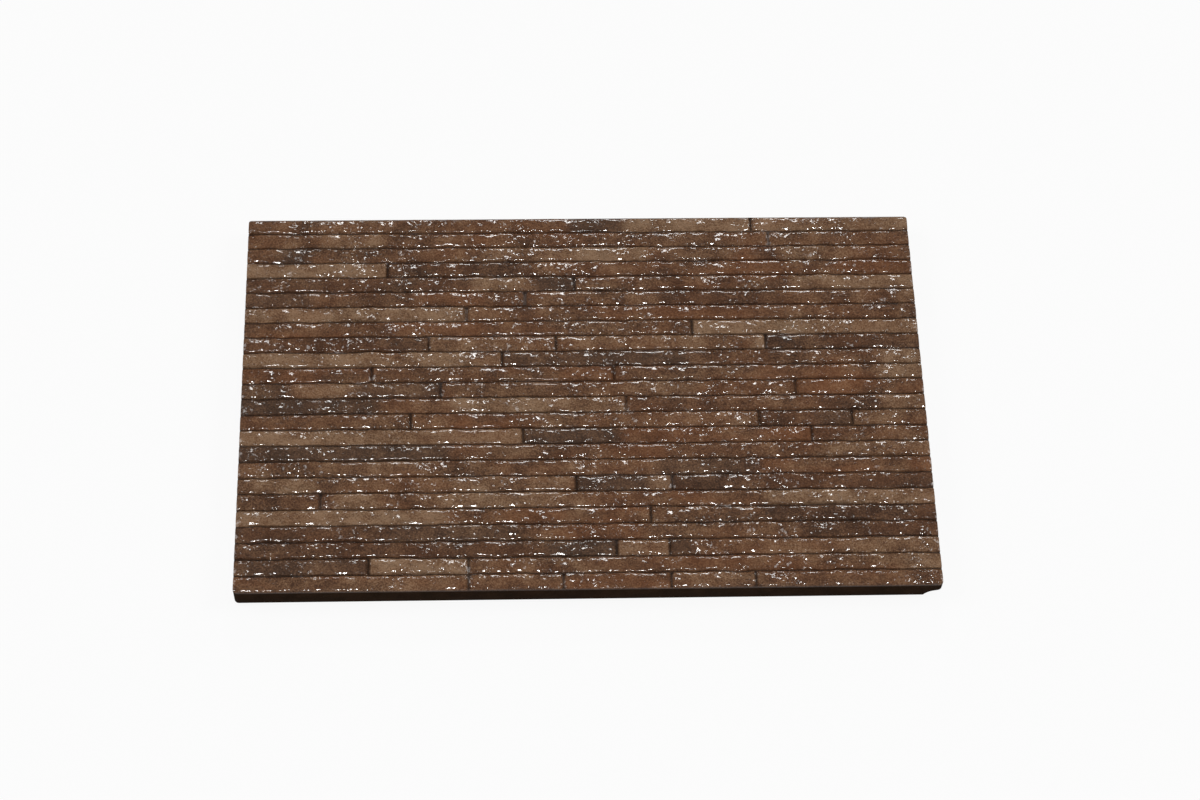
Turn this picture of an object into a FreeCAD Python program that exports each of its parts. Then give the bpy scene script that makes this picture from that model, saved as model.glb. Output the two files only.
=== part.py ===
# Porcelain wall tile with a ledger-stone face: one fired slab whose face is pressed into thin
# courses that run its whole length, like split stone laid dry.
#
# Frame: origin at the centre of the flat back, +X along the courses, +Y towards the far long
# edge, +Z out of the face. Millimetres.

import FreeCAD, Part
import math
import os
import Sketcher
from FreeCAD import Vector

NODE = "porcelain_tile"

# Driving dimensions: each is a cell of the sheet, under the same alias.
SIZES = {
    "tile_length": 400.0,    # along the courses
    "tile_width": 250.0,     # across the courses
    "tile_thickness": 16.0,  # back to the highest land of the face
    "course_count": 24,      # courses that share the width
    "joint_depth": 2.2,      # floor of a joint below the lands
    "joint_width": 0.9,      # open width of a joint
    "far_drop": 1.0,         # a course's far edge below its land
    "land_width": 1.6,       # level land behind a course's near edge
    "nose_radius": 0.9,      # rounding of a course's near edge
    "corner_radius": 2.4,    # the slab's four upright corners
    "back_bevel": 0.8,       # bevel round the back
    "chip_length": 11.0,     # broken corner, along the back's edges
    "chip_height": 8.0,      # broken corner, up from the back
}

CUTTER_MARGIN = 1.0  # how far the course cutter stands above the lands

# Sketcher's numbers for the ends and the centre of an edge, and for the sketch's own origin
START, END, CENTRE = 1, 2, 3
SKETCH_ORIGIN = (-1, 1)


def make_sheet(doc):
    """Write the driving dimensions into a spreadsheet, one aliased cell each."""
    sheet = doc.addObject("Spreadsheet::Sheet", "sizes")
    for row, (alias, value) in enumerate(SIZES.items(), start=1):
        sheet.set(f"A{row}", alias)
        sheet.set(f"B{row}", str(value))
        sheet.setAlias(f"B{row}", alias)
    return sheet


def origin_feature(body, role):
    """The body's own origin plane or axis that has this role."""
    return next(feature for feature in body.Origin.OriginFeatures if feature.Role == role)


def new_sketch(body, name, role):
    """An empty sketch lying on one of the body's origin planes."""
    sketch = body.newObject("Sketcher::SketchObject", name)
    sketch.AttachmentSupport = [(origin_feature(body, role), "")]
    sketch.MapMode = "FlatFace"
    return sketch


def bind(sketch, name, constraint, formula):
    """Add a dimension to a sketch and drive it from the sheet."""
    index = sketch.addConstraint(constraint)
    sketch.renameConstraint(index, name)
    sketch.setExpression(f"Constraints.{name}", formula)


def pin(sketch, edge, point, name, across, up):
    """Hold one point of an edge at two driven distances from the sketch's origin."""
    place = (*SKETCH_ORIGIN, edge, point)
    spot = sketch.getPoint(edge, point)
    bind(sketch, f"{name}_across", Sketcher.Constraint("DistanceX", *place, spot.x), across)
    bind(sketch, f"{name}_up", Sketcher.Constraint("DistanceY", *place, spot.y), up)


def sketch_outline(body):
    """The slab's rounded rectangle, on the plane of its back."""
    radius = SIZES["corner_radius"]
    flat_x = SIZES["tile_length"] / 2 - radius
    flat_y = SIZES["tile_width"] / 2 - radius
    centres = [Vector(flat_x, -flat_y), Vector(flat_x, flat_y),
               Vector(-flat_x, flat_y), Vector(-flat_x, -flat_y)]
    outwards = [Vector(0, -radius), Vector(radius, 0), Vector(0, radius), Vector(-radius, 0)]

    sketch = new_sketch(body, "outline", "XY_Plane")
    corners = []
    sides = []
    for number, (centre, outward) in enumerate(zip(centres, outwards)):
        circle = Part.Circle(centre, Vector(0, 0, 1), radius)
        first_angle = (number - 1) * math.pi / 2
        corners.append(sketch.addGeometry(Part.ArcOfCircle(circle, first_angle, first_angle + math.pi / 2)))
        side = Part.LineSegment(centres[number - 1] + outward, centre + outward)
        sides.append(sketch.addGeometry(side))
    for number in range(4):
        following = (number + 1) % 4
        sketch.addConstraint(Sketcher.Constraint("Tangent", sides[number], END, corners[number], START))
        sketch.addConstraint(Sketcher.Constraint("Tangent", corners[number], END, sides[following], START))
    sketch.addConstraint(Sketcher.Constraint("Horizontal", sides[0]))
    sketch.addConstraint(Sketcher.Constraint("Vertical", sides[1]))
    for corner in corners[1:]:
        sketch.addConstraint(Sketcher.Constraint("Equal", corners[0], corner))

    bind(sketch, "corner", Sketcher.Constraint("Radius", corners[0], radius), "sizes.corner_radius")
    pin(sketch, corners[1], CENTRE, "far_right",
        "sizes.tile_length / 2 - sizes.corner_radius",
        "sizes.tile_width / 2 - sizes.corner_radius")
    pin(sketch, corners[3], CENTRE, "near_left",
        "sizes.corner_radius - sizes.tile_length / 2",
        "sizes.corner_radius - sizes.tile_width / 2")
    return sketch


def sketch_course_cut(body):
    """What is cut away at one joint and over the sloping back of the course on its near side.

    The joint is centred on the slab's near edge. Beyond it is the rounded nose of the first
    course; on this side the slope runs back down to the joint from the previous course's land.
    """
    near_edge = -SIZES["tile_width"] / 2
    pitch = SIZES["tile_width"] / SIZES["course_count"]
    half_joint = SIZES["joint_width"] / 2
    nose = SIZES["nose_radius"]
    top = SIZES["tile_thickness"]
    floor = top - SIZES["joint_depth"]
    nose_end = Vector(near_edge + half_joint + nose, top)
    nose_start = Vector(near_edge + half_joint, top - nose)
    joint_far = Vector(near_edge + half_joint, floor)
    joint_near = Vector(near_edge - half_joint, floor)
    slope_foot = Vector(near_edge - half_joint, top - SIZES["far_drop"])
    slope_head = Vector(near_edge - pitch + half_joint + nose + SIZES["land_width"], top)
    above = Vector(0, CUTTER_MARGIN)

    sketch = new_sketch(body, "course_cut_profile", "YZ_Plane")
    circle = Part.Circle(nose_end - Vector(0, nose), Vector(0, 0, 1), nose)
    nose_arc = sketch.addGeometry(Part.ArcOfCircle(circle, math.pi / 2, math.pi))
    corners = [nose_start, joint_far, joint_near, slope_foot, slope_head,
               slope_head + above, nose_end + above, nose_end]
    lines = [sketch.addGeometry(Part.LineSegment(here, there)) for here, there in zip(corners, corners[1:])]
    near_wall, joint_floor, far_wall, slope, slope_riser, lid, nose_riser = lines

    for before, after in zip(lines, lines[1:]):
        sketch.addConstraint(Sketcher.Constraint("Coincident", before, END, after, START))
    sketch.addConstraint(Sketcher.Constraint("Tangent", nose_arc, END, near_wall, START))
    sketch.addConstraint(Sketcher.Constraint("Coincident", nose_riser, END, nose_arc, START))
    for upright in (near_wall, far_wall, slope_riser, nose_riser):
        sketch.addConstraint(Sketcher.Constraint("Vertical", upright))
    for level in (joint_floor, lid):
        sketch.addConstraint(Sketcher.Constraint("Horizontal", level))

    edge = "-sizes.tile_width / 2"
    bind(sketch, "nose", Sketcher.Constraint("Radius", nose_arc, nose), "sizes.nose_radius")
    pin(sketch, nose_arc, CENTRE, "nose_centre",
        f"{edge} + sizes.joint_width / 2 + sizes.nose_radius",
        "sizes.tile_thickness - sizes.nose_radius")
    pin(sketch, joint_floor, END, "joint_corner",
        f"{edge} - sizes.joint_width / 2",
        "sizes.tile_thickness - sizes.joint_depth")
    pin(sketch, slope, END, "slope_head",
        f"{edge} - sizes.tile_width / sizes.course_count + sizes.joint_width / 2"
        " + sizes.nose_radius + sizes.land_width",
        "sizes.tile_thickness")
    foot = (*SKETCH_ORIGIN, slope, START)
    bind(sketch, "slope_foot", Sketcher.Constraint("DistanceY", *foot, slope_foot.y),
         "sizes.tile_thickness - sizes.far_drop")
    lid_end = (*SKETCH_ORIGIN, lid, END)
    bind(sketch, "lid", Sketcher.Constraint("DistanceY", *lid_end, top + CUTTER_MARGIN),
         f"sizes.tile_thickness + {CUTTER_MARGIN}")
    return sketch


def make_tile(doc):
    """Build the tile: slab, bevelled back, courses, and the broken corner."""
    body = doc.addObject("PartDesign::Body", NODE)
    body.Label = NODE

    outline = sketch_outline(body)
    slab = body.newObject("PartDesign::Pad", "slab")
    slab.Profile = outline
    slab.setExpression("Length", "sizes.tile_thickness")
    doc.recompute()

    bevel = body.newObject("PartDesign::Chamfer", "back_bevel")
    bevel.Base = (slab, back_edges(slab.Shape))
    bevel.setExpression("Size", "sizes.back_bevel")
    doc.recompute()

    course_cut = body.newObject("PartDesign::Pocket", "course_cut")
    course_cut.Profile = sketch_course_cut(body)
    course_cut.SideType = "Symmetric"
    course_cut.Type = "Length"
    course_cut.setExpression("Length", "sizes.tile_length * 2")
    doc.recompute()
    require_less(course_cut.Shape, bevel.Shape, "the first course cut")

    courses = body.newObject("PartDesign::LinearPattern", "courses")
    courses.Originals = [course_cut]
    courses.Direction = (origin_feature(body, "Y_Axis"), [""])
    courses.Mode = "Spacing"
    courses.setExpression("Offset", "sizes.tile_width / sizes.course_count")
    courses.setExpression("Occurrences", "sizes.course_count + 1")
    body.Tip = courses
    doc.recompute()
    require_less(courses.Shape, course_cut.Shape, "the row of courses")

    # the break is a shallow shell-shaped one: a ball that stands this far under the back
    sink = "(sizes.chip_length ^ 2 - sizes.chip_height ^ 2) / (2 * sizes.chip_height)"
    chip = body.newObject("PartDesign::SubtractiveSphere", "corner_chip")
    chip.AttachmentSupport = [(origin_feature(body, "XY_Plane"), "")]
    chip.MapMode = "FlatFace"
    chip.setExpression("AttachmentOffset.Base.x", "sizes.tile_length / 2")
    chip.setExpression("AttachmentOffset.Base.y", "-sizes.tile_width / 2")
    chip.setExpression("AttachmentOffset.Base.z", f"-{sink}")
    chip.setExpression("Radius", f"sizes.chip_height + {sink}")
    body.Tip = chip
    doc.recompute()
    require_less(chip.Shape, courses.Shape, "the broken corner")
    return body


def back_edges(shape):
    """Names of the edges that lie in the plane of the back."""
    flat = 1e-6
    return [f"Edge{number}" for number, edge in enumerate(shape.Edges, start=1)
            if edge.BoundBox.ZMax < flat]


def require_less(after, before, what):
    """Stop if a cut took nothing away."""
    if after.Volume >= before.Volume - 1e-3:
        raise RuntimeError(f"{what} removed nothing")


def check_document(doc, parts):
    """Stop if any object failed or any part has no valid solid."""
    for item in doc.Objects:
        if "Invalid" in item.State or "Error" in item.State:
            raise RuntimeError(f"{item.Label} failed: {item.State}")
    for part in parts:
        if part.Shape.isNull() or not part.Shape.isValid() or len(part.Shape.Solids) != 1:
            raise RuntimeError(f"{part.Label} is not one valid solid")


doc = FreeCAD.newDocument("porcelain_tile")
make_sheet(doc)
tile = make_tile(doc)
doc.recompute()
check_document(doc, [tile])

os.makedirs("parts", exist_ok=True)
tile.Shape.exportStep(f"parts/{tile.Label}.step")
box = tile.Shape.BoundBox
print(f"{tile.Label}: {box.XLength:.2f} x {box.YLength:.2f} x {box.ZLength:.2f} mm, "
      f"{tile.Shape.Volume / 1000:.1f} cm3, {len(tile.Shape.Faces)} faces")
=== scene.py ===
import math
import random

import bpy
from mathutils import Matrix, Vector


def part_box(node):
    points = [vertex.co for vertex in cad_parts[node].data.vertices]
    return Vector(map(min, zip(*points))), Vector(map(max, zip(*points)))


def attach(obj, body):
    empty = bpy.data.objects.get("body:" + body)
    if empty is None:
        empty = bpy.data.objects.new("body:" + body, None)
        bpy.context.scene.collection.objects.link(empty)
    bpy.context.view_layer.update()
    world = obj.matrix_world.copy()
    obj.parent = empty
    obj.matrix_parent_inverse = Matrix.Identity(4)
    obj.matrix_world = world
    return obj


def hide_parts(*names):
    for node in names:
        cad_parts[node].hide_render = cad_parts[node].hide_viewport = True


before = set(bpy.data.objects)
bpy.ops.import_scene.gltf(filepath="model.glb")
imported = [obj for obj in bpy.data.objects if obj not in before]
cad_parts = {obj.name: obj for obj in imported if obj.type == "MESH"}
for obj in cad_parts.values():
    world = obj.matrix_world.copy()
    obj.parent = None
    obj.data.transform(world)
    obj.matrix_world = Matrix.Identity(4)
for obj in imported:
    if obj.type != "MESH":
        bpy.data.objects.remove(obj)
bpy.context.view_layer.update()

# Glazed porcelain tile with a pressed face of thin stone courses. Metres, lying on its back.

lowCorner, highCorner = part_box("porcelain_tile")
tileLength = highCorner.x - lowCorner.x
tileWidth = highCorner.y - lowCorner.y
tileTop = highCorner.z
mm = 0.001

courses = {
    "count": 24,
    "columns": 276,         # steps along a course
    # across one course from its near joint to its far joint: how far in, how far below the land
    "section": [(0.00, 2.10), (0.22, 1.75), (0.40, 1.10), (0.62, 0.72), (0.95, 0.50),
                (1.35, 0.30), (1.90, 0.10), (3.00, 0.00), (5.20, 0.00), (7.60, 0.06),
                (8.80, 0.32), (9.60, 0.85), (10.12, 1.45)],
    "stoneLift": 0.28 * mm,  # most that one stone stands above or below the next
    "stoneTip": 0.9,         # degrees that a stone may lean across the course
    "jointReach": 0.8 * mm,  # half width of an upright joint
    "jointPress": 1.7 * mm,  # its depth
    "endDrop": 0.45 * mm,    # softened ends of the courses
    "softChange": 0.02,      # share of the length over which one finish turns into the next
    "headroom": 0.55 * mm,   # kept free above the lands for the relief
    "edgeKept": 0.8 * mm,    # left level beside a joint when its stone is lifted
    "shadeReach": 2.0 * mm,  # how far an upright joint's shade reaches
}
pitch = tileWidth / courses["count"]
rowsPerCourse = len(courses["section"])

# Stones by course, from the far edge to the near one: finish, and where it ends along the length.
# A bar after the finish means that an upright joint is pressed there.
stones = [
    "brown .485, darkGrey .565, lightTan .70, lightTan .76 |, tan 1",
    "brown .115, tan .20, brown .34, redBrown .62, brown .785 |, brown 1",
    "brown .05, darkGrey .09, brown .30, tanBrown .49, lightTan .60, brown .72, rust .76, dark .80,"
    "tanBrown .9, brown 1",
    "lightTan .21 |, dark .42, brown .60, redBrown 1",
    "dark .333, tan .43, darkGrey .49 |, brown .68, redBrown .82, tan 1",
    "greyBrown .10, brown .25, redBrown .395, brown .415 |, brown .62, dark .80, brown 1",
    "tan .15, lightTan .328 |, tanBrown .40, dark .43, rust .58, redBrown .75, brown 1",
    "redBrown .35, brown .63, dark .663 |, lightTan .74, lightTan .84, tan 1",
    "dark .273 |, tanBrown .46 |, tanBrown .70, brown .755, lightTan .771 |, dark 1",
    "lightTan .20, tan .38 |, greyBrown .50, darkGrey .65, redBrown .94, tan 1",
    "redBrown .19 |, brown .36, redBrown .545 |, brown .75, redBrown .94, tan 1",
    "greyBrown .07, tan .165, greyBrown .29 |, brown .50, tanBrown .62, brown .81 |, rust .92, redBrown 1",
    "darkGrey .20, brown .31, lightTan .44, tan .56 |, brown .72, brown .84, dark .93, tan 1",
    "brown .247 |, rust .34, redBrown .40, brown .58, tanBrown .755 |, dark .84, greyBrown .89 |, tanBrown 1",
    "lightTan .09, tan .26, tan .41 |, darkGrey .55, redBrown .70, rust .83 |, brown 1",
    "darkGrey .30, brown .45, redBrown .62, brown .86, tanBrown 1",
    "brown .16, tanBrown .30, brown .46, tanBrown .60, greyBrown .75, redBrown .90, rust 1",
    "brown .02, tan .12, brown .25, tanBrown .484 |, darkGrey .59, lightTan .622 |, dark .82, dark 1",
    "brown .118 |, dark .14, lightTan .20, brown .26, tan .50, brown .62, redBrown .76, lightTan .88, tan 1",
    "lightTan .30, redBrown .45, rust .59 |, brown .75, dark 1",
    "dark .22, greyBrown .40, redBrown .58, brown .80, dark 1",
    "dark .44, darkGrey .54 |, tan .615 |, greyBrown .65, brown .75, tanBrown 1",
    "greyBrown .19 |, lightTan .33 |, brown .58, redBrown .80, brown .94, tan 1",
    "redBrown .16, tanBrown .33 |, brown .463 |, redBrown .615 |, tanBrown .735 |, brown 1",
]
# each finish: how light it is, how red it is, how grey it is
stoneFinishes = {
    "lightTan": (0.88, 0.20, 0.15), "tan": (0.76, 0.35, 0.08), "tanBrown": (0.64, 0.50, 0.00),
    "brown": (0.50, 0.50, 0.00), "redBrown": (0.46, 0.80, 0.00), "rust": (0.54, 1.00, 0.00),
    "greyBrown": (0.44, 0.20, 0.55), "darkGrey": (0.34, 0.15, 0.80), "dark": (0.32, 0.45, 0.20),
}


def clearSelection():
    bpy.ops.object.select_all(action="DESELECT")


def makeActive(piece):
    clearSelection()
    piece.select_set(True)
    bpy.context.view_layer.objects.active = piece


def applyModifiers(piece):
    makeActive(piece)
    for modifier in list(piece.modifiers):
        bpy.ops.object.modifier_apply(modifier=modifier.name)


def editSelected(piece, chooseVertex, edit):
    # run an edit-mode operator on the vertices that the test picks
    makeActive(piece)
    bpy.ops.object.mode_set(mode="EDIT")
    bpy.ops.mesh.select_all(action="DESELECT")
    bpy.ops.object.mode_set(mode="OBJECT")
    for vertex in piece.data.vertices:
        vertex.select = chooseVertex(vertex.co)
    bpy.ops.object.mode_set(mode="EDIT")
    bpy.ops.mesh.select_mode(type="VERT")
    edit()
    bpy.ops.object.mode_set(mode="OBJECT")


def readStones():
    # each course as a list of (start, end, finish, jointAtEnd), near course first
    rows = []
    for line in reversed(stones):
        start = 0.0
        row = []
        for entry in line.split(","):
            words = entry.split()
            end = float(words[1])
            row.append((start, end, words[0], "|" in words))
            start = end
        rows.append(row)
    return rows


stoneRows = readStones()


def courseOf(y):
    number = int((y - lowCorner.y) / pitch)
    return min(max(number, 0), courses["count"] - 1)


def makeCourse():
    # one course: a flat grid, its rows of vertices moved to the section
    section = courses["section"]
    bpy.ops.mesh.primitive_grid_add(
        x_subdivisions=courses["columns"], y_subdivisions=rowsPerCourse,
        size=1.0, location=(0, 0, 0))
    course = bpy.context.object
    course.scale = (tileLength, pitch, 1)
    course.location = (0, lowCorner.y + pitch / 2, tileTop - courses["headroom"])
    bpy.ops.object.transform_apply(location=True, rotation=False, scale=True)
    near = lowCorner.y
    for row in range(rowsPerCourse + 1):
        gridY = near + pitch * row / rowsPerCourse
        across, below = section[row] if row < rowsPerCourse else (pitch / mm, section[0][1])
        shift = (0, near + across * mm - gridY, -below * mm)

        def inRow(place, gridY=gridY):
            return abs(place.y - gridY) < 1e-6 and place.z > tileTop - courses["headroom"] - 1e-6
        editSelected(course, inRow, lambda shift=shift: bpy.ops.transform.translate(value=shift))
    return course


def layCourses(course):
    array = course.modifiers.new("courses", "ARRAY")
    array.count = courses["count"]
    array.use_relative_offset = False
    array.use_constant_offset = True
    array.constant_offset_displace = (0, pitch, 0)
    array.use_merge_vertices = True
    array.merge_threshold = 0.02 * mm
    applyModifiers(course)


def shapeStones(face):
    # lift and tip each stone a little, and press the upright joints between them
    chance = random.Random(24)
    byCourse = [[] for _ in stoneRows]
    for vertex in face.data.vertices:
        byCourse[courseOf(vertex.co.y)].append(vertex)
    for number, row in enumerate(stoneRows):
        middle = lowCorner.y + pitch * (number + 0.5)
        reach = pitch / 2 - courses["edgeKept"]
        for start, end, finish, jointed in row:
            left = lowCorner.x + tileLength * start
            right = lowCorner.x + tileLength * end
            lift = chance.uniform(-1, 1) * courses["stoneLift"]
            tip = math.tan(math.radians(chance.uniform(-1, 1) * courses["stoneTip"]))
            for vertex in byCourse[number]:
                place = vertex.co
                if abs(place.y - middle) > reach:
                    continue
                if left <= place.x < right:
                    place.z += lift + (place.y - middle) * tip
                if jointed and abs(place.x - right) < courses["jointReach"]:
                    place.z -= courses["jointPress"]


def softenEnds(face):
    for side in (lowCorner.x, highCorner.x):
        editSelected(face, lambda place, side=side: abs(place.x - side) < 1e-5,
                     lambda: bpy.ops.transform.translate(value=(0, 0, -courses["endDrop"])))


relief = {
    # wandering of the joints
    "waveAcross": 0.85, "waveLength": 15.0,
    # slow rise and fall of each stone
    "swell": 0.32, "swellLength": 15.0,
    # split ridges, running slantwise
    "ridge": 0.50, "ridgeLength": 4.6,
    # clusters of broken facets
    "facet": 0.60, "facetLength": 3.6,
}


def addNode(tree, kind, **values):
    node = tree.nodes.new(kind)
    for name, value in values.items():
        setattr(node, name, value)
    return node


def feed(tree, node, *inputs):
    # numbers are set on the sockets, sockets are linked to them; None leaves one as it is
    for socket, source in zip(node.inputs, inputs):
        if source is None:
            continue
        if isinstance(source, bpy.types.NodeSocket):
            tree.links.new(source, socket)
        else:
            socket.default_value = source
    return node


def calc(tree, operation, *inputs):
    return feed(tree, addNode(tree, "ShaderNodeMath", operation=operation), *inputs).outputs[0]


def stretch(tree, vector, factors):
    node = addNode(tree, "ShaderNodeVectorMath", operation="MULTIPLY")
    return feed(tree, node, vector, factors).outputs[0]


def noise(tree, vector, scale, detail=2.0, roughness=0.5, distortion=0.0):
    node = addNode(tree, "ShaderNodeTexNoise")
    tree.links.new(vector, node.inputs["Vector"])
    node.inputs["Scale"].default_value = scale
    node.inputs["Detail"].default_value = detail
    node.inputs["Roughness"].default_value = roughness
    node.inputs["Distortion"].default_value = distortion
    return node.outputs[0]


def between(tree, value, low, high, toLow=0.0, toHigh=1.0, smooth=True):
    node = addNode(tree, "ShaderNodeMapRange", interpolation_type="SMOOTHSTEP" if smooth else "LINEAR")
    tree.links.new(value, node.inputs["Value"])
    for name, number in zip(("From Min", "From Max", "To Min", "To Max"), (low, high, toLow, toHigh)):
        node.inputs[name].default_value = number
    return node.outputs["Result"]


def makeReliefGroup():
    # move the face's points along Y for the joints and along Z for the split stone
    group = bpy.data.node_groups.new("pressedRelief", "GeometryNodeTree")
    group.interface.new_socket("Geometry", in_out="INPUT", socket_type="NodeSocketGeometry")
    group.interface.new_socket("Geometry", in_out="OUTPUT", socket_type="NodeSocketGeometry")
    start = addNode(group, "NodeGroupInput")
    finish = addNode(group, "NodeGroupOutput")
    place = addNode(group, "GeometryNodeInputPosition").outputs[0]
    parts = feed(group, addNode(group, "ShaderNodeSeparateXYZ"), place)
    height = parts.outputs[2]

    # how much a point belongs to a stone: none on a joint's floor, all on the land
    stone = between(group, height, tileTop - 2.4 * mm, tileTop - 0.9 * mm)
    low, high = lowCorner.y, highCorner.y
    nearRim = between(group, parts.outputs[1], low, low + 2.5 * mm)
    farRim = between(group, parts.outputs[1], high, high - 2.5 * mm)
    inside = calc(group, "MULTIPLY", nearRim, farRim)

    perMetre = 1 / mm
    wavePlace = stretch(group, place, (1.0, 2.2, 0.0))
    wave = noise(group, wavePlace, perMetre / relief["waveLength"], 4.0, 0.55)
    wave = between(group, wave, 0.2, 0.8, -relief["waveAcross"] * mm, relief["waveAcross"] * mm, False)
    wave = calc(group, "MULTIPLY", wave, inside)

    swellPlace = stretch(group, place, (0.55, 1.6, 0.0))
    swell = noise(group, swellPlace, perMetre / relief["swellLength"], 2.0)
    swell = between(group, swell, 0.2, 0.8, -relief["swell"] * mm, relief["swell"] * mm, False)

    turned = addNode(group, "ShaderNodeVectorRotate", rotation_type="Z_AXIS")
    group.links.new(place, turned.inputs["Vector"])
    turned.inputs["Angle"].default_value = math.radians(24)
    ridgePlace = stretch(group, turned.outputs[0], (0.5, 1.0, 0.0))
    ridge = noise(group, ridgePlace, perMetre / relief["ridgeLength"], 2.0, 0.45, 0.6)
    ridge = calc(group, "ABSOLUTE", calc(group, "SUBTRACT", ridge, 0.5))
    ridge = between(group, ridge, 0.0, 0.16, 0.0, -relief["ridge"] * mm, False)
    ridgeSpots = noise(group, place, perMetre / 34.0, 2.0)
    ridge = calc(group, "MULTIPLY", ridge, between(group, ridgeSpots, 0.36, 0.62))

    facetPlace = stretch(group, turned.outputs[0], (0.6, 1.0, 0.0))
    cells = addNode(group, "ShaderNodeTexVoronoi", feature="F1")
    group.links.new(facetPlace, cells.inputs["Vector"])
    cells.inputs["Scale"].default_value = perMetre / relief["facetLength"]
    facet = between(group, cells.outputs["Distance"], 0.0, 0.75, 0.0, -relief["facet"] * mm, False)
    facetSpots = noise(group, stretch(group, place, (1.0, 1.0, 0.0)), perMetre / 21.0, 1.0)
    facet = calc(group, "MULTIPLY", facet, between(group, facetSpots, 0.55, 0.66))

    rise = calc(group, "ADD", calc(group, "ADD", swell, ridge), facet)
    rise = calc(group, "MULTIPLY", rise, stone)
    rise = calc(group, "MULTIPLY", rise, calc(group, "ADD", calc(group, "MULTIPLY", inside, 0.6), 0.4))
    offset = feed(group, addNode(group, "ShaderNodeCombineXYZ"), 0.0, wave, rise).outputs[0]
    move = addNode(group, "GeometryNodeSetPosition")
    group.links.new(start.outputs[0], move.inputs["Geometry"])
    group.links.new(offset, move.inputs["Offset"])
    group.links.new(move.outputs[0], finish.inputs[0])
    return group


def pressRelief(face):
    modifier = face.modifiers.new("pressedRelief", "NODES")
    modifier.node_group = makeReliefGroup()
    applyModifiers(face)


block = {
    "cornerRadius": 2.4 * mm,
    "backBevel": 0.8 * mm,
    "chipLength": 11.0 * mm,
    "chipHeight": 8.0 * mm,
    "rippleSize": 6.0 * mm,  # unevenness of the broken corner
    "ripple": 1.2 * mm,
    "creaseAngle": 38,       # degrees past which an edge stays sharp
}


def closeFace(face):
    # pull the face's rim down into a deep skirt and close it below
    editSelected(face, lambda place: False, lambda: bpy.ops.mesh.select_non_manifold())
    makeActive(face)
    bpy.ops.object.mode_set(mode="EDIT")
    bpy.ops.mesh.extrude_region_move(TRANSFORM_OT_translate={"value": (0, 0, -tileTop * 2)})
    bpy.ops.mesh.edge_face_add()
    bpy.ops.object.mode_set(mode="OBJECT")
    editSelected(face, lambda place: place.z < -0.2 * tileTop,
                 lambda: bpy.ops.transform.resize(value=(1, 1, 0), center_override=(0, 0, -tileTop)))


def makeBlock():
    # the slab that the face is trimmed to: round upright corners and a bevelled back
    bpy.ops.mesh.primitive_cube_add(size=1.0, location=(0, 0, 0))
    slab = bpy.context.object
    slab.scale = (tileLength, tileWidth, tileTop * 2)
    slab.location = ((lowCorner.x + highCorner.x) / 2, (lowCorner.y + highCorner.y) / 2, tileTop)
    bpy.ops.object.transform_apply(location=True, rotation=False, scale=True)
    makeActive(slab)
    bpy.ops.object.mode_set(mode="EDIT")
    bpy.ops.mesh.select_all(action="DESELECT")
    bpy.ops.object.mode_set(mode="OBJECT")
    for edge in slab.data.edges:
        ends = [slab.data.vertices[number].co for number in edge.vertices]
        edge.select = abs(ends[0].z - ends[1].z) > tileTop
    bpy.ops.object.mode_set(mode="EDIT")
    bpy.ops.mesh.select_mode(type="EDGE")
    bpy.ops.mesh.bevel(offset=block["cornerRadius"], segments=5, affect="EDGES")
    bpy.ops.object.mode_set(mode="OBJECT")
    editSelected(slab, lambda place: place.z < 1e-6,
                 lambda: bpy.ops.mesh.bevel(offset=block["backBevel"], segments=1, affect="EDGES"))
    return slab


def chipCorner(piece):
    length = block["chipLength"]
    height = block["chipHeight"]
    sink = (length ** 2 - height ** 2) / (2 * height)
    bpy.ops.mesh.primitive_ico_sphere_add(
        subdivisions=5, radius=height + sink, location=(highCorner.x, lowCorner.y, -sink))
    ball = bpy.context.object
    bpy.ops.object.transform_apply(location=True, rotation=False, scale=False)
    shellTexture = bpy.data.textures.new("shellBreak", "CLOUDS")
    shellTexture.noise_scale = block["rippleSize"]
    ripple = ball.modifiers.new("ripple", "DISPLACE")
    ripple.texture = shellTexture
    ripple.strength = block["ripple"]
    applyModifiers(ball)
    cutWith(piece, ball, "DIFFERENCE")


def cutWith(piece, cutter, operation):
    trim = piece.modifiers.new("trim", "BOOLEAN")
    trim.operation = operation
    trim.solver = "EXACT"
    trim.object = cutter
    applyModifiers(piece)
    bpy.data.objects.remove(cutter, do_unlink=True)


def finishFor(x, y):
    # the stone finish at a point, with a soft change where no joint is pressed
    along = (x - lowCorner.x) / tileLength
    row = stoneRows[courseOf(y)]
    for number, (start, end, finish, jointed) in enumerate(row):
        if along <= end or number == len(row) - 1:
            here = Vector(stoneFinishes[finish])
            if not jointed and number + 1 < len(row):
                share = (along - end) / courses["softChange"] + 0.5
                if share > 0:
                    return here.lerp(Vector(stoneFinishes[row[number + 1][2]]), min(share, 0.5))
            if number and not row[number - 1][3]:
                share = 0.5 - (along - start) / courses["softChange"]
                if share > 0:
                    return here.lerp(Vector(stoneFinishes[row[number - 1][2]]), min(share, 0.5))
            return here
    return Vector(stoneFinishes["brown"])


def jointShadeFor(x, y):
    # how close a point is to an upright joint: 1 on it, 0 where its shade ends
    gaps = [abs(x - lowCorner.x - tileLength * end)
            for start, end, finish, jointed in stoneRows[courseOf(y)] if jointed]
    return max(1 - min(gaps, default=1) / courses["shadeReach"], 0)


def paintStones(piece):
    # each stone's lightness, redness and greyness, and the painted shade beside its upright joints, kept on
    # the points for the material
    names = ("stoneLight", "stoneRed", "stoneGrey", "uprightJointShade")
    for name in names:
        piece.data.attributes.new(name, "FLOAT", "POINT")
    layers = [piece.data.attributes[name] for name in names]
    for number, vertex in enumerate(piece.data.vertices):
        values = (*finishFor(vertex.co.x, vertex.co.y), jointShadeFor(vertex.co.x, vertex.co.y))
        for layer, value in zip(layers, values):
            layer.data[number].value = value


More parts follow.
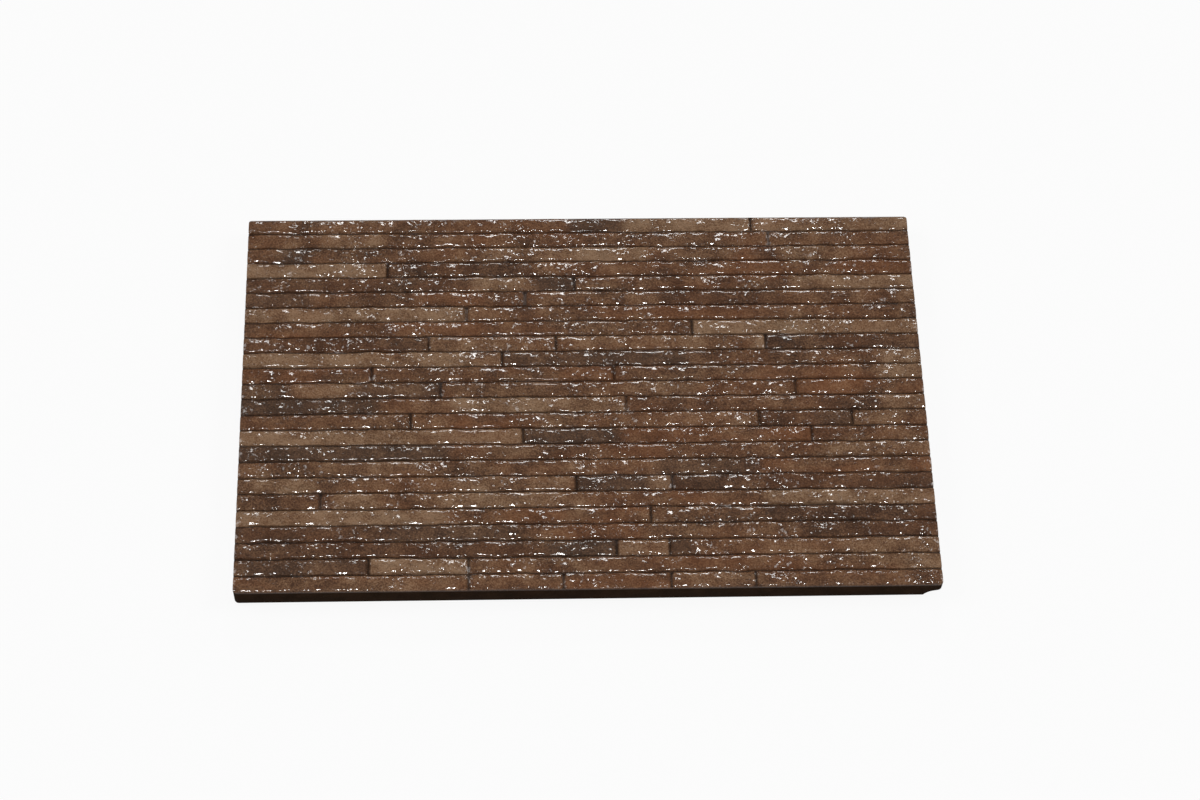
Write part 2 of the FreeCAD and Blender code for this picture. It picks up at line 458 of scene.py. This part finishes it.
print("stage: courses")
clearSelection()
tile = makeCourse()
layCourses(tile)
print("stage: stones")
shapeStones(tile)
softenEnds(tile)
pressRelief(tile)
print("stage: slab")
closeFace(tile)
slab = makeBlock()
cutWith(tile, slab, "INTERSECT")
chipCorner(tile)
paintStones(tile)
tile.name = "glazedTile"
tile.data.name = "glazedTile"
makeActive(tile)
bpy.ops.object.shade_smooth_by_angle(angle=math.radians(block["creaseAngle"]))
print("triangles", sum(len(face.vertices) - 2 for face in tile.data.polygons))
print("bounds", [[round(value / mm, 3) for value in tile.bound_box[corner]] for corner in (0, 6)])


glaze = {
    "stops": [(0.00, (0.024, 0.013, 0.008)), (0.30, (0.060, 0.031, 0.018)), (0.52, (0.106, 0.054, 0.029)),
              (0.78, (0.160, 0.091, 0.050)), (1.00, (0.225, 0.140, 0.084))],
    "rust": (0.180, 0.062, 0.022),
    "slate": (0.062, 0.040, 0.028),
    # painted shade: the near-black brown laid into the joints' hollows, along the far rim and beside the
    # upright joints
    "paintedShade": (0.022, 0.012, 0.008),
    "roughness": 0.09,
    "mottleSize": 12.0, "mottleShare": 0.36,
    "speckleSize": 1.0, "speckleShare": 0.50,
    "rustPatch": 22.0, "facetPatch": 17.0,
    "unevenSize": 3.0, "unevenDepth": 0.20,
    # broken facets: size, which way they lie, depth
    "facets": [(2.8, 38, 1.8), (1.4, -30, 0.50)],
}


def newGroup(name, inputs, outputs):
    group = bpy.data.node_groups.new(name, "ShaderNodeTree")
    for direction, sockets in (("INPUT", inputs), ("OUTPUT", outputs)):
        for socketName, kind in sockets:
            group.interface.new_socket(socketName, in_out=direction, socket_type=f"NodeSocket{kind}")
    return group, addNode(group, "NodeGroupInput"), addNode(group, "NodeGroupOutput")


def makeGrainGroup():
    # mineral grain: broad mottles, fine speckle and a few dark veins, as values about 0.5
    group, start, finish = newGroup(
        "mineralGrain", [("Vector", "Vector"), ("Mottle Size", "Float"), ("Speckle Size", "Float")],
        [("Mottle", "Float"), ("Speckle", "Float"), ("Vein", "Float")])
    vector, mottleSize, speckleSize = start.outputs[0], start.outputs[1], start.outputs[2]
    long = stretch(group, vector, (0.9, 1.1, 1.0))
    mottle = addNode(group, "ShaderNodeTexNoise")
    group.links.new(long, mottle.inputs["Vector"])
    group.links.new(calc(group, "DIVIDE", 1.0, mottleSize), mottle.inputs["Scale"])
    mottle.inputs["Detail"].default_value = 5.0
    mottle.inputs["Roughness"].default_value = 0.62
    speckle = addNode(group, "ShaderNodeTexNoise")
    group.links.new(vector, speckle.inputs["Vector"])
    group.links.new(calc(group, "DIVIDE", 1.0, speckleSize), speckle.inputs["Scale"])
    speckle.inputs["Detail"].default_value = 3.0
    speckle.inputs["Roughness"].default_value = 0.7
    veinNoise = addNode(group, "ShaderNodeTexNoise")
    group.links.new(stretch(group, vector, (0.5, 1.2, 1.0)), veinNoise.inputs["Vector"])
    group.links.new(calc(group, "DIVIDE", 0.8, mottleSize), veinNoise.inputs["Scale"])
    veinNoise.inputs["Detail"].default_value = 6.0
    veinNoise.inputs["Distortion"].default_value = 1.2
    away = calc(group, "ABSOLUTE", calc(group, "SUBTRACT", veinNoise.outputs[0], 0.5))
    vein = between(group, away, 0.0, 0.03, 1.0, 0.0)
    feed(group, finish, mottle.outputs[0], speckle.outputs[0], vein)
    return group


def makeFacetGroup():
    # broken facets: a height made of small planes, each tilted its own way
    group, start, finish = newGroup(
        "brokenFacets", [("Vector", "Vector"), ("Size", "Float"), ("Turn", "Float")], [("Height", "Float")])
    vector, size, turn = start.outputs[:3]
    bend = addNode(group, "ShaderNodeTexNoise")
    group.links.new(vector, bend.inputs["Vector"])
    group.links.new(calc(group, "DIVIDE", 0.6, size), bend.inputs["Scale"])
    bend.inputs["Detail"].default_value = 1.0
    shift = addNode(group, "ShaderNodeVectorMath", operation="SUBTRACT")
    group.links.new(bend.outputs["Color"], shift.inputs[0])
    shift.inputs[1].default_value = (0.5, 0.5, 0.5)
    reach = addNode(group, "ShaderNodeVectorMath", operation="SCALE")
    group.links.new(shift.outputs[0], reach.inputs[0])
    group.links.new(calc(group, "MULTIPLY", size, 2.0), reach.inputs["Scale"])
    bent = addNode(group, "ShaderNodeVectorMath", operation="ADD")
    group.links.new(vector, bent.inputs[0])
    group.links.new(reach.outputs[0], bent.inputs[1])
    turned = addNode(group, "ShaderNodeVectorRotate", rotation_type="Z_AXIS")
    group.links.new(bent.outputs[0], turned.inputs["Vector"])
    group.links.new(turn, turned.inputs["Angle"])
    flat = stretch(group, turned.outputs[0], (0.38, 1.0, 0.0))
    cells = addNode(group, "ShaderNodeTexVoronoi", feature="F1")
    group.links.new(flat, cells.inputs["Vector"])
    group.links.new(calc(group, "DIVIDE", 1.0, size), cells.inputs["Scale"])
    away = addNode(group, "ShaderNodeVectorMath", operation="SUBTRACT")
    group.links.new(flat, away.inputs[0])
    group.links.new(cells.outputs["Position"], away.inputs[1])
    tilt = addNode(group, "ShaderNodeVectorMath", operation="SUBTRACT")
    group.links.new(cells.outputs["Color"], tilt.inputs[0])
    tilt.inputs[1].default_value = (0.5, 0.5, 0.5)
    slope = addNode(group, "ShaderNodeVectorMath", operation="DOT_PRODUCT")
    group.links.new(away.outputs[0], slope.inputs[0])
    group.links.new(tilt.outputs[0], slope.inputs[1])
    feed(group, finish, calc(group, "DIVIDE", slope.outputs["Value"], size))
    return group


def readLayer(tree, name):
    node = addNode(tree, "ShaderNodeAttribute", attribute_type="GEOMETRY", attribute_name=name)
    return node.outputs["Fac"]


def mixColours(tree, share, first, second, blend="MIX"):
    node = addNode(tree, "ShaderNodeMix", data_type="RGBA", blend_type=blend)
    for socket, source in ((node.inputs[0], share), (node.inputs[6], first), (node.inputs[7], second)):
        if isinstance(source, bpy.types.NodeSocket):
            tree.links.new(source, socket)
        elif isinstance(source, tuple):
            socket.default_value = (*source, 1.0)
        else:
            socket.default_value = source
    return node.outputs[2]


def newMaterial(name):
    material = bpy.data.materials.new(name)
    material.use_nodes = True
    tree = material.node_tree
    shader = tree.nodes["Principled BSDF"]
    return material, tree, shader


def makeGlaze(grain, facets):
    material, tree, shader = newMaterial("stoneGlaze")
    local = addNode(tree, "ShaderNodeTexCoord").outputs["Object"]
    across, height = feed(tree, addNode(tree, "ShaderNodeSeparateXYZ"), local).outputs[1:3]
    grains = addNode(tree, "ShaderNodeGroup", node_tree=grain)
    feed(tree, grains, local, glaze["mottleSize"] * mm, glaze["speckleSize"] * mm)
    mottle, speckle, vein = grains.outputs

    light = readLayer(tree, "stoneLight")
    for grainValue, share in ((mottle, glaze["mottleShare"]), (speckle, glaze["speckleShare"])):
        light = calc(tree, "ADD", light, between(tree, grainValue, 0.25, 0.75, -share, share, False))
    ramp = addNode(tree, "ShaderNodeValToRGB")
    tree.links.new(light, ramp.inputs[0])
    stops = ramp.color_ramp.elements
    while len(stops) < len(glaze["stops"]):
        stops.new(0.5)
    for stop, (position, colour) in zip(stops, glaze["stops"]):
        stop.position = position
        stop.color = (*colour, 1.0)
    colour = ramp.outputs[0]

    redness = readLayer(tree, "stoneRed")
    redSpots = noise(tree, stretch(tree, local, (0.5, 1.2, 1.0)), 1 / (glaze["rustPatch"] * mm), 4.0)
    redness = calc(tree, "MULTIPLY", redness, between(tree, redSpots, 0.38, 0.62, 0.15, 0.75))
    colour = mixColours(tree, redness, colour, mixColours(tree, 0.55, colour, glaze["rust"]))
    greyness = readLayer(tree, "stoneGrey")
    colour = mixColours(tree, calc(tree, "MULTIPLY", greyness, 0.4), colour, glaze["slate"])
    colour = mixColours(tree, calc(tree, "MULTIPLY", vein, 0.18), colour, glaze["stops"][0][1])
    # painted shade, darker towards the floor of each joint's hollow
    shadeMask = between(tree, height, tileTop - 2.6 * mm, tileTop - 1.6 * mm, 0.85, 0.0)
    # painted shade along the far rim
    farRim = between(tree, across, highCorner.y - 1.2 * mm, highCorner.y - 0.4 * mm, 0.0, 0.8)
    shadeMask = calc(tree, "MAXIMUM", shadeMask, farRim)
    # painted shade beside the pressed upright joints
    upright = between(tree, readLayer(tree, "uprightJointShade"), 0.35, 0.8, 0.0, 0.75)
    colour = mixColours(tree, calc(tree, "MAXIMUM", shadeMask, upright), colour, glaze["paintedShade"])
    tree.links.new(colour, shader.inputs["Base Color"])

    rough = between(tree, speckle, 0.3, 0.7, glaze["roughness"] * 0.75, glaze["roughness"] * 1.5, False)
    rough = calc(tree, "ADD", rough, between(tree, height, tileTop - 2.3 * mm, tileTop - 1.8 * mm, 0.4, 0.0))
    tree.links.new(rough, shader.inputs["Roughness"])
    shader.inputs["Specular IOR Level"].default_value = 0.50

    # relief too fine for the mesh: broken facets in patches, and a faint unevenness everywhere
    patches = noise(tree, stretch(tree, local, (0.7, 1.3, 1.0)), 1 / (glaze["facetPatch"] * mm), 2.0)
    patches = between(tree, patches, 0.43, 0.60, 0.28, 1.0)
    uneven = noise(tree, stretch(tree, local, (0.6, 1.0, 1.0)), 1 / (glaze["unevenSize"] * mm), 1.0)
    heights = [(uneven, glaze["unevenDepth"])]
    for size, turn, depth in glaze["facets"]:
        broken = addNode(tree, "ShaderNodeGroup", node_tree=facets)
        feed(tree, broken, local, size * mm, math.radians(turn))
        heights.append((calc(tree, "MULTIPLY", broken.outputs[0], patches), depth))
    normal = None
    for height, distance in heights:
        bump = addNode(tree, "ShaderNodeBump")
        bump.inputs["Strength"].default_value = 1.0
        bump.inputs["Distance"].default_value = distance * mm
        tree.links.new(height, bump.inputs["Height"])
        if normal is not None:
            tree.links.new(normal, bump.inputs["Normal"])
        normal = bump.outputs[0]
    tree.links.new(normal, shader.inputs["Normal"])
    return material


# the body's dark brown, made near black as painted shade on the sides
bodyAndShade = {
    "dark": (0.015, 0.0075, 0.0035),
    "light": (0.024, 0.012, 0.006),
    "speck": (0.036, 0.020, 0.011),
}


def makeBody(grain):
    # the unglazed fired body on the sides and the back: its dark brown, made near black as painted shade on
    # the sides
    material, tree, shader = newMaterial("darkBodyAndShade")
    local = addNode(tree, "ShaderNodeTexCoord").outputs["Object"]
    grains = addNode(tree, "ShaderNodeGroup", node_tree=grain)
    feed(tree, grains, local, 9 * mm, 0.7 * mm)
    mottle, speckle, vein = grains.outputs
    colour = mixColours(tree, between(tree, mottle, 0.3, 0.7), bodyAndShade["dark"], bodyAndShade["light"])
    colour = mixColours(tree, between(tree, speckle, 0.55, 0.7, 0.0, 0.5), colour, bodyAndShade["speck"])
    tree.links.new(colour, shader.inputs["Base Color"])
    tree.links.new(between(tree, speckle, 0.3, 0.7, 0.62, 0.85), shader.inputs["Roughness"])
    shader.inputs["Specular IOR Level"].default_value = 0.03
    bump = addNode(tree, "ShaderNodeBump")
    bump.inputs["Strength"].default_value = 0.6
    bump.inputs["Distance"].default_value = 0.15 * mm
    tree.links.new(speckle, bump.inputs["Height"])
    tree.links.new(bump.outputs[0], shader.inputs["Normal"])
    return material


print("stage: materials")
grainGroup = makeGrainGroup()
tile.data.materials.clear()
tile.data.materials.append(makeGlaze(grainGroup, makeFacetGroup()))
tile.data.materials.append(makeBody(grainGroup))
for face in tile.data.polygons:
    glazed = face.normal.z > 0.25 or face.center.z > tileTop - 2.6 * mm
    face.material_index = 0 if glazed else 1

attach(tile, "root")
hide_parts("porcelain_tile")


studio = {
    "floorSize": 6.0,
    "floorColour": (0.62, 0.62, 0.62),
    "whiteShare": 0.90,         # how much of the floor's look is plain white to the camera
    "dim": 0.14,                # what the surroundings give the object
    # name: way from the zenith, way round from +X, distance, width, depth, watts
    "lamps": {"farStrip": (60, 86, 4.0, 0.95, 0.5, 31.0), "nearStrip": (30, -94, 4.0, 0.5, 0.14, 76.0),
              "leftSoft": (50, 168, 3.2, 1.6, 1.6, 38.0), "rightSoft": (50, 12, 3.2, 1.6, 1.6, 41.0)},
}


def makeFloor():
    bpy.ops.mesh.primitive_plane_add(size=studio["floorSize"], location=(0, 0, lowCorner.z - 0.2 * mm))
    floor = bpy.context.object
    floor.name = "floor"
    material, tree, shader = newMaterial("palePaper")
    shader.inputs["Base Color"].default_value = (*studio["floorColour"], 1.0)
    shader.inputs["Roughness"].default_value = 0.9
    white = addNode(tree, "ShaderNodeEmission")
    white.inputs["Strength"].default_value = 1.0
    mix = addNode(tree, "ShaderNodeMixShader")
    seen = addNode(tree, "ShaderNodeLightPath").outputs["Is Camera Ray"]
    tree.links.new(calc(tree, "MULTIPLY", seen, studio["whiteShare"]), mix.inputs[0])
    tree.links.new(shader.outputs[0], mix.inputs[1])
    tree.links.new(white.outputs[0], mix.inputs[2])
    tree.links.new(mix.outputs[0], tree.nodes["Material Output"].inputs["Surface"])
    floor.data.materials.append(material)


def makeWorld():
    world = bpy.data.worlds.new("studio")
    bpy.context.scene.world = world
    world.use_nodes = True
    tree = world.node_tree
    plain = tree.nodes["Background"]
    plain.inputs["Color"].default_value = (1, 1, 1, 1)
    plain.inputs["Strength"].default_value = studio["dim"]
    white = addNode(tree, "ShaderNodeBackground")
    white.inputs["Color"].default_value = (0.96, 0.96, 0.96, 1)
    mix = addNode(tree, "ShaderNodeMixShader")
    tree.links.new(addNode(tree, "ShaderNodeLightPath").outputs["Is Camera Ray"], mix.inputs[0])
    tree.links.new(plain.outputs[0], mix.inputs[1])
    tree.links.new(white.outputs[0], mix.inputs[2])
    tree.links.new(mix.outputs[0], tree.nodes["World Output"].inputs["Surface"])


def makeLamps():
    for name, (fromZenith, around, distance, width, depth, watts) in studio["lamps"].items():
        lean = math.radians(fromZenith)
        turn = math.radians(around)
        way = Vector((math.sin(lean) * math.cos(turn), math.sin(lean) * math.sin(turn), math.cos(lean)))
        data = bpy.data.lights.new(name, "AREA")
        data.shape = "RECTANGLE"
        data.size = width
        data.size_y = depth
        data.energy = watts
        lamp = bpy.data.objects.new(name, data)
        lamp.location = way * distance
        lamp.rotation_euler = way.to_track_quat("Z", "Y").to_euler()
        bpy.context.collection.objects.link(lamp)


view = {
    "lens": 80.0, "sensor": 36.0,
    "aim": (9.0 * mm, -3.6 * mm, 16.0 * mm),
    "azimuth": -4.6, "elevation": 60.2, "distance": 1.558, "roll": 3.46,
}


def makeCamera():
    data = bpy.data.cameras.new("camera")
    data.lens = view["lens"]
    data.sensor_width = view["sensor"]
    data.sensor_fit = "HORIZONTAL"
    azimuth = math.radians(view["azimuth"])
    elevation = math.radians(view["elevation"])
    way = Vector((math.sin(azimuth) * math.cos(elevation), -math.cos(azimuth) * math.cos(elevation),
                  math.sin(elevation)))
    camera = bpy.data.objects.new("camera", data)
    camera.location = Vector(view["aim"]) + way * view["distance"]
    turn = way.to_track_quat("Z", "Y").to_matrix().to_4x4()
    tilt = turn @ Matrix.Rotation(math.radians(view["roll"]), 4, "Z")
    camera.rotation_euler = tilt.to_euler()
    bpy.context.collection.objects.link(camera)
    bpy.context.scene.camera = camera


print("stage: studio")
makeFloor()
makeWorld()
makeLamps()
makeCamera()
bpy.context.scene.view_settings.view_transform = "Standard"
